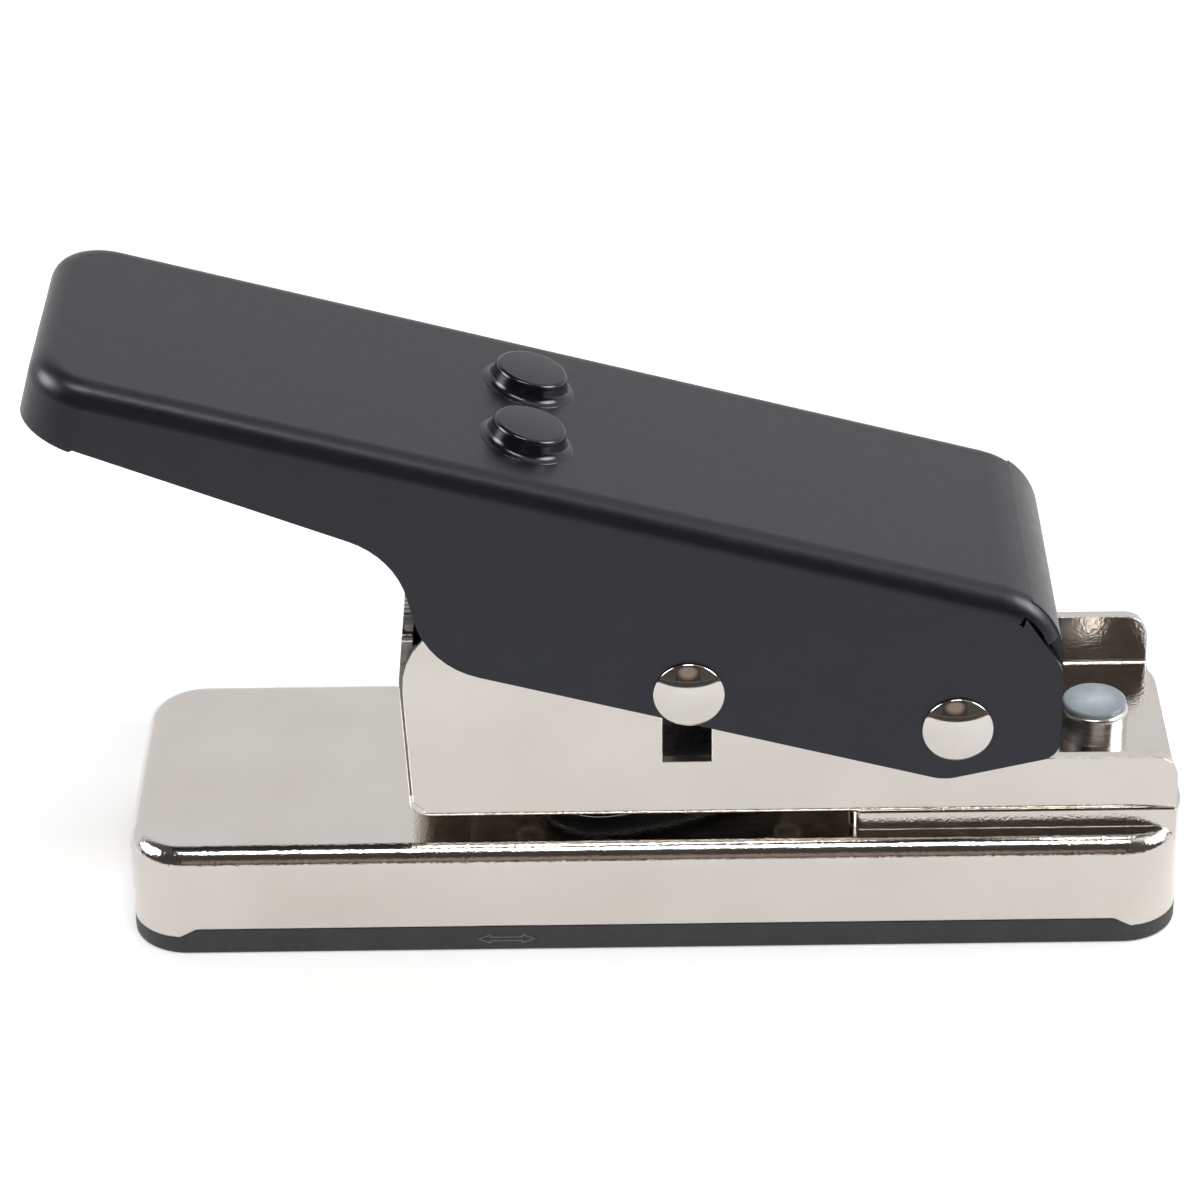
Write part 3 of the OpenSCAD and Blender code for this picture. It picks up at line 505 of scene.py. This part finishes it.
def wire_line(axis, side):
    """Points along a spring's wire, each with its spoke out from the axis. The end turns lie flat."""
    line = []
    for i in range(TURNS * RINGS_A_TURN + 1):
        turn = i / RINGS_A_TURN
        t = min(1, max(0, (turn - FLAT_TURN) / (TURNS - 2 * FLAT_TURN)))
        centre, way = bezier(axis, t)
        across = Vector((way.z, 0, -way.x))
        swing = 2 * math.pi * turn
        spoke = math.cos(swing) * across + math.sin(swing) * Vector((0, 1, 0))
        line.append((centre + Vector((0, side * SPRING_Y, 0)) + COIL_D / 2 * spoke, spoke))
    return line


def wire_mesh(line):
    """A closed round tube along a wire's points."""
    mesh = bmesh.new()
    rings = []
    for i, (point, spoke) in enumerate(line):
        ahead = line[min(i + 1, len(line) - 1)][0]
        behind = line[max(i - 1, 0)][0]
        way = (ahead - behind).normalized()
        out = (spoke - way * spoke.dot(way)).normalized()
        lift = way.cross(out)
        ring = []
        for k in range(WIRE_SIDES):
            angle = 2 * math.pi * k / WIRE_SIDES
            corner = point + WIRE_D / 2 * (math.cos(angle) * out + math.sin(angle) * lift)
            ring.append(mesh.verts.new(corner))
        rings.append(ring)
    for first, second in zip(rings, rings[1:]):
        for k in range(WIRE_SIDES):
            n = (k + 1) % WIRE_SIDES
            face = mesh.faces.new((first[k], first[n], second[n], second[k]))
            face.smooth = True
    mesh.faces.new(reversed(rings[0]))
    mesh.faces.new(rings[-1])
    return mesh


def return_spring(where, side):
    """One coil spring of fine wire, from the frame's floor up to the handle at rest, in place of its node.
    """
    low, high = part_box("spring_seats")
    foot = Vector(((low.x + high.x) / 2, 0, FLOOR_TOP + WIRE_D / 2))
    axis = spring_axis(foot)
    mesh = wire_mesh(wire_line(axis, side))
    spring = make_piece("fine_spring_" + where, mesh, FINISHES["spring_steel"])
    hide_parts("return_spring_" + where)
    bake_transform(spring)


# Turned forms
def arc(middle, r, first, last, steps=10):
    """Points of an arc in a half section, between two angles in degrees."""
    points = []
    for i in range(steps + 1):
        angle = math.radians(first + (last - first) * i / steps)
        points.append((middle[0] + r * math.cos(angle), middle[1] + r * math.sin(angle)))
    return points


def lathe(section, place, up):
    """A mesh turned about an axis that runs along up, from a half section.

    The section's points are a radius and a height each, from the top's middle to the foot.
    """
    turn = up.to_track_quat("Z", "Y").to_matrix()
    mesh = bmesh.new()
    top = mesh.verts.new(place + turn @ Vector((0, 0, section[0][1])))
    rings = []
    for r, h in section[1:]:
        ring = []
        for k in range(LATHE_SIDES):
            angle = 2 * math.pi * k / LATHE_SIDES
            spot = Vector((r * math.cos(angle), r * math.sin(angle), h))
            ring.append(mesh.verts.new(place + turn @ spot))
        rings.append(ring)
    for k in range(LATHE_SIDES):
        n = (k + 1) % LATHE_SIDES
        mesh.faces.new((top, rings[0][k], rings[0][n]))
        for upper, lower in zip(rings, rings[1:]):
            mesh.faces.new((upper[k], lower[k], lower[n], upper[n]))
    mesh.faces.new(rings[-1])
    for face in mesh.faces:
        face.smooth = len(face.verts) < LATHE_SIDES
    return mesh


def rivet_pin(name, node):
    """A pin with a polished, round-edged dome on either end, in place of its node."""
    low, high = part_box(node)
    middle = Vector(((low.x + high.x) / 2, 0, (low.z + high.z) / 2))
    end = high.y
    seat = end - HEAD_H
    reach = HEAD_R - HEAD_EDGE
    rise = HEAD_H - HEAD_RIM - HEAD_EDGE
    inner = (reach**2 + rise**2) / (2 * rise)
    slope = math.degrees(math.asin(reach / inner))
    ball = inner + HEAD_EDGE
    half = arc((0, end - ball), ball, 90, 90 - slope, steps=16)
    half += arc((reach, seat + HEAD_RIM), HEAD_EDGE, 90 - slope, 0, steps=6)[1:]
    half += [(HEAD_R, seat + HEAD_RING), (HEAD_R, seat), (PIN_R, seat), (PIN_R, seat - HEAD_RING)]
    section = half + [(r, -h) for r, h in reversed(half[1:])]
    pin = add_piece(name, lathe(section, middle, Vector((0, -1, 0))), POLISHED, "handle")
    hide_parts(node)


def button(name, side):
    """One painted button: a crowned top, a round rim and a leaning side that flares into the skin."""
    inner = BUTTON_CROWN - BUTTON_RIM
    slope = math.degrees(math.asin(BUTTON_TOP_R / inner))
    rim_h = BUTTON_H - BUTTON_CROWN + math.sqrt(inner**2 - BUTTON_TOP_R**2)
    section = arc((0, BUTTON_H - BUTTON_CROWN), BUTTON_CROWN, 90, 90 - slope)
    section += arc((BUTTON_TOP_R, rim_h), BUTTON_RIM, 90 - slope, BUTTON_LEAN)[1:]
    flare = arc((0, BUTTON_FOOT + BUTTON_FLARE), BUTTON_FLARE, 180 + BUTTON_LEAN, 270, steps=8)
    lean = math.tan(math.radians(BUTTON_LEAN))
    shift = section[-1][0] + (section[-1][1] - flare[0][1]) * lean - flare[0][0]
    section += [(r + shift, h) for r, h in flare]
    section.append((section[-1][0], -BUTTON_ROOT))
    place = PIVOT + POST_X * ALONG + HANDLE_TOP * OUT + Vector((0, side * SPRING_Y, 0))
    add_piece(name, lathe(section, place, OUT), FINISHES["gloss_black"], "handle")


def stud_and_cap():
    """The plated stud with its rounded shoulder, and the thin milky cap that sits in its top."""
    low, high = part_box("rear_stud")
    cap_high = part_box("stud_cap")[1].z
    middle = Vector(((low.x + high.x) / 2, 0, 0))
    up = Vector((0, 0, 1))
    rest = cap_high - CAP_H
    metal = [(0, rest), (STUD_R - STUD_SHOULDER, rest)]
    metal += arc((STUD_R - STUD_SHOULDER, rest - STUD_SHOULDER), STUD_SHOULDER, 90, 0)
    metal += [(STUD_R, FLOOR_TOP + STUD_RING), (STUD_R, FLOOR_TOP)]
    stud = add_piece("turned_stud", lathe(metal, middle, up), TURNED, "base")
    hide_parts("rear_stud")
    soft = [(0, cap_high), (CAP_R / 2, cap_high - CAP_CROWN / 3)]
    soft += arc((CAP_R - CAP_EDGE, cap_high - CAP_EDGE - CAP_CROWN), CAP_EDGE, 90, 0, steps=5)
    soft.append((CAP_R - CAP_TAPER, rest - CAP_SINK))
    cap = add_piece("soft_cap", lathe(soft, middle, up), FINISHES["clear_plastic"], "base")
    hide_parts("stud_cap")


# Sheared edges
def front_face(z):
    """Where the front wall's outer face lies at a height: it leans forward, and its tongue back."""
    turn_x = FRONT_X - (TURN_Z - UPRIGHT_Z) * WALL_LEAN
    if z > TURN_Z:
        return turn_x + (z - TURN_Z) * TONGUE_LEAN
    return FRONT_X - max(0, z - UPRIGHT_Z) * WALL_LEAN


def wall_edge():
    """Places along the front wall's upright edge, each with its outward direction, across and up."""
    count = round((SHOULDER_Z - CORNER_R - UPRIGHT_Z) / RIDGE_PITCH)
    step = (SHOULDER_Z - CORNER_R - UPRIGHT_Z) / count
    return [((EDGE_Y, UPRIGHT_Z + i * step), (1, 0)) for i in range(count + 1)]


def tongue_edge():
    """The same along the tongue's edge: up out of its hollow corner and over its round tip."""
    half = RIDGE_PITCH / 2
    places = []
    hollow = (TONGUE_Y + CORNER_R, SHOULDER_Z + CORNER_R)
    count = round(math.pi / 2 * CORNER_R / half)
    for y, z in arc(hollow, CORNER_R, 270, 180, count):
        places.append(((y, z), ((hollow[0] - y) / CORNER_R, (hollow[1] - z) / CORNER_R)))
    tip = (TONGUE_Y - TIP_R, TIP_Z - TIP_R)
    count = round((tip[1] - hollow[1]) / half)
    for i in range(1, count):
        places.append(((TONGUE_Y, hollow[1] + (tip[1] - hollow[1]) * i / count), (1, 0)))
    count = round(math.pi / 2 * TIP_R / half)
    for y, z in arc(tip, TIP_R, 0, 90, count):
        places.append(((y, z), ((y - tip[0]) / TIP_R, (z - tip[1]) / TIP_R)))
    return places


def sheared_edge(name, side, places, depth, finish):
    """The torn face along one edge of the front wall, with ridges of the given depth across the sheet."""
    mesh = bmesh.new()
    rows = []
    for i, ((y, z), (across, up)) in enumerate(places):
        proud = EDGE_PROUD + (depth if i % 2 else 0)
        x = front_face(z)
        y = side * (y + proud * across)
        z = z + proud * up
        outer = mesh.verts.new((x + EDGE_INSET, y, z))
        inner = mesh.verts.new((x + SHEET - EDGE_INSET, y, z))
        rows.append((outer, inner))
    for first, second in zip(rows, rows[1:]):
        mesh.faces.new((first[0], first[1], second[1], second[0]))
    add_piece(name, mesh, finish, "base")


# Mark on the tray
def tray_arrow():
    """A fine raised outline of a double arrow on the tray's near side."""
    half = [
        (ARROW_HALF - ARROW_HEAD, ARROW_SHAFT),
        (ARROW_HALF - ARROW_HEAD, ARROW_RISE),
        (ARROW_HALF, 0),
    ]
    upper = [(-x, z) for x, z in reversed(half)] + half
    loop = upper + [(x, -z) for x, z in reversed(upper)][1:-1]
    outline = [Vector((x, 0, z)) for x, z in loop]
    proud = Vector((0, -ARROW_PROUD, 0))
    mesh = bmesh.new()
    corners = []
    for before, here, after in zip(outline[-1:] + outline[:-1], outline, outline[1:] + outline[:1]):
        first = (here - before).normalized()
        second = (after - here).normalized()
        way = (first + second).normalized()
        across = Vector((way.z, 0, -way.x)) * ARROW_LINE / 2 / way.dot(first)
        ring = [across, across + proud, proud - across, -across]
        corners.append([mesh.verts.new(ARROW_MIDDLE + here + c) for c in ring])
    for first, second in zip(corners, corners[1:] + corners[:1]):
        for k in range(3):
            mesh.faces.new((first[k], second[k], second[k + 1], first[k + 1]))
    add_piece("tray_arrow", mesh, PALE_ARROW, "chip_tray")


# Floor, light and camera
def floor():
    """A plain pale floor with a faint glow of its own."""
    bpy.ops.mesh.primitive_plane_add(size=FLOOR_SIZE, location=(0, 0, 0))
    plane = bpy.context.object
    plane.name = "floor"
    material, _, shader = start_material("floor_white")
    shader.inputs["Base Color"].default_value = FLOOR_COLOUR
    shader.inputs["Emission Color"].default_value = FLOOR_COLOUR
    shader.inputs["Emission Strength"].default_value = FLOOR_GLOW
    shader.inputs["Roughness"].default_value = 0.9
    shader.inputs["Specular IOR Level"].default_value = 0.1
    plane.data.materials.append(material)


def reflected_card(name, place, facing, size):
    """A glowing card that shows in reflections only: its node tree, its own coordinates and its glow."""
    bpy.ops.mesh.primitive_plane_add(size=1, location=place)
    card = bpy.context.object
    card.name = name
    card.scale = (*size, 1)
    card.rotation_euler = facing.to_track_quat("Z", "Y").to_euler()
    material = bpy.data.materials.new(name)
    material.use_nodes = True
    tree = material.node_tree
    tree.nodes.clear()
    coordinates = tree.nodes.new("ShaderNodeTexCoord")
    glow = tree.nodes.new("ShaderNodeEmission")
    output = tree.nodes.new("ShaderNodeOutputMaterial")
    tree.links.new(glow.outputs["Emission"], output.inputs["Surface"])
    card.data.materials.append(material)
    card.visible_camera = False
    card.visible_diffuse = False
    card.visible_shadow = False
    return tree, coordinates.outputs["Object"], glow


def round_fade(tree, own):
    """A value that falls from one in a card's middle to nothing at its rim."""
    wide = tree.nodes.new("ShaderNodeMapping")
    wide.inputs["Scale"].default_value = [1 / CARD_RIM] * 3
    fade = tree.nodes.new("ShaderNodeTexGradient")
    fade.gradient_type = "SPHERICAL"
    tree.links.new(own, wide.inputs["Vector"])
    tree.links.new(wide.outputs["Vector"], fade.inputs["Vector"])
    return fade.outputs["Fac"]


def room_floor():
    """A dark floor in front of the white table, brown beside the table's edge."""
    front = Vector((0, TABLE_FRONT - ROOM_REACH / 2, MM))
    size = (2 * ROOM_REACH, ROOM_REACH)
    tree, own, glow = reflected_card("room_floor", front, Vector((0, 0, 1)), size)
    parts = tree.nodes.new("ShaderNodeSeparateXYZ")
    tree.links.new(own, parts.inputs["Vector"])
    start = CARD_RIM - BROWN_REACH / ROOM_REACH
    colour = two_colours(tree, parts.outputs["Y"], ROOM_DARK, ROOM_BROWN, start=start, end=CARD_RIM)
    tree.links.new(colour, glow.inputs["Color"])


def warm_panel():
    """A warm wall behind the camera that fades out at its rim."""
    tree, own, glow = reflected_card("warm_panel", PANEL_PLACE, Vector((0, 1, 0)), PANEL_SIZE)
    fade = round_fade(tree, own)
    colour = two_colours(tree, fade, PANEL_RIM, PANEL_WARM, start=0.1, end=0.5)
    tree.links.new(colour, glow.inputs["Color"])


def side_lamps():
    """A soft round lamp on either side."""
    for count, place in enumerate(LAMP_PLACES):
        tree, own, glow = reflected_card(f"side_lamp_{count}", place, -place, LAMP_SIZE)
        fade = round_fade(tree, own)
        strength = spread(tree, fade, 0, LAMP_GLOW, start=0, end=LAMP_FULL)
        tree.links.new(strength, glow.inputs["Strength"])


def bands(tree, value, stops):
    """A colour that changes smoothly through the given places and colours."""
    ramp = tree.nodes.new("ShaderNodeValToRGB")
    ramp.color_ramp.interpolation = "EASE"
    elements = ramp.color_ramp.elements
    while len(elements) < len(stops):
        elements.new(0.5)
    for element, (position, colour) in zip(elements, stops):
        element.position = position
        element.color = (*colour, 1)
    tree.links.new(value, ramp.inputs["Fac"])
    return ramp.outputs["Color"]


def studio_world():
    """A studio with a bright backdrop, bright above on the right, and a dark room on the camera's side.

    Heights run from the backdrop's horizon at nothing, over the point overhead, to the camera's side
    at one.
    """
    world = bpy.data.worlds.new("studio")
    bpy.context.scene.world = world
    world.use_nodes = True
    tree = world.node_tree
    background = tree.nodes["Background"]
    place = tree.nodes.new("ShaderNodeTexCoord")
    parts = tree.nodes.new("ShaderNodeSeparateXYZ")
    turn = tree.nodes.new("ShaderNodeMath")
    turn.operation = "ARCTAN2"
    tree.links.new(place.outputs["Generated"], parts.inputs["Vector"])
    tree.links.new(parts.outputs["Z"], turn.inputs[0])
    tree.links.new(parts.outputs["Y"], turn.inputs[1])
    height = spread(tree, turn.outputs["Value"], 0, 1, start=0, end=math.pi)
    middle = bands(tree, height, [
        (0.0, BACKDROP),
        (0.25, BACKDROP),
        (0.32, DARK_CEILING),
        (0.80, DARK_WALL),
        (1.0, LOW_WALL),
    ])
    right = bands(tree, height, [
        (0.0, BACKDROP),
        (0.25, HIGH_BACKDROP),
        (0.42, BRIGHT_CEILING),
        (0.52, PALE_CEILING),
        (0.63, DARK_CEILING),
        (1.0, LOW_WALL),
    ])
    side = spread(tree, parts.outputs["X"], 0, 1, start=RIGHT_START, end=RIGHT_END)
    mix = tree.nodes.new("ShaderNodeMix")
    mix.data_type = "RGBA"
    tree.links.new(side, mix.inputs["Factor"])
    tree.links.new(middle, mix.inputs["A"])
    tree.links.new(right, mix.inputs["B"])
    tree.links.new(mix.outputs["Result"], background.inputs["Color"])
    background.inputs["Strength"].default_value = WORLD_STRENGTH


def key_light():
    """A soft rectangular light above the front of the object, which faces it."""
    data = bpy.data.lights.new("key", "AREA")
    data.shape = "RECTANGLE"
    data.size, data.size_y = KEY_SIZE
    data.energy = KEY_POWER
    light = bpy.data.objects.new("key", data)
    bpy.context.scene.collection.objects.link(light)
    light.location = KEY_PLACE
    light.rotation_euler = (-KEY_PLACE).to_track_quat("-Z", "Y").to_euler()


def camera():
    """The camera, turned by its yaw, its pitch below the horizon and its roll."""
    forward = Vector((
        math.sin(CAMERA_YAW) * math.cos(CAMERA_PITCH),
        math.cos(CAMERA_YAW) * math.cos(CAMERA_PITCH),
        -math.sin(CAMERA_PITCH),
    ))
    level = Vector((math.cos(CAMERA_YAW), -math.sin(CAMERA_YAW), 0))
    upright = level.cross(forward)
    right = math.cos(CAMERA_ROLL) * level + math.sin(CAMERA_ROLL) * upright
    up = math.cos(CAMERA_ROLL) * upright - math.sin(CAMERA_ROLL) * level
    data = bpy.data.cameras.new("camera")
    data.lens = CAMERA_LENS
    data.sensor_width = CAMERA_SENSOR
    made = bpy.data.objects.new("camera", data)
    bpy.context.scene.collection.objects.link(made)
    turned = Matrix((right, up, -forward)).transposed().to_4x4()
    made.matrix_world = Matrix.Translation(CAMERA_PLACE) @ turned
    bpy.context.scene.camera = made


camera()
studio_world()
key_light()
floor()
room_floor()
warm_panel()
side_lamps()
dress_nodes()
return_spring("near", -1)
return_spring("far", 1)
rivet_pin("turned_pivot_pin", "pivot_pin")
rivet_pin("turned_drive_pin", "drive_pin")
stud_and_cap()
tray_arrow()
for side, where in ((-1, "near"), (1, "far")):
    button("button_" + where, side)
    sheared_edge("front_edge_" + where, side, wall_edge(), 0, SHADED_SHEARED_EDGE)
    sheared_edge("tongue_edge_" + where, side, tongue_edge(), RIDGE_DEPTH, NOTCHED_EDGE_PAINTED_LIGHT)
bpy.context.scene.view_settings.view_transform = "Standard"
bpy.context.scene.cycles.max_bounces = MOST_BOUNCES
bpy.context.scene.cycles.glossy_bounces = MIRROR_BOUNCES
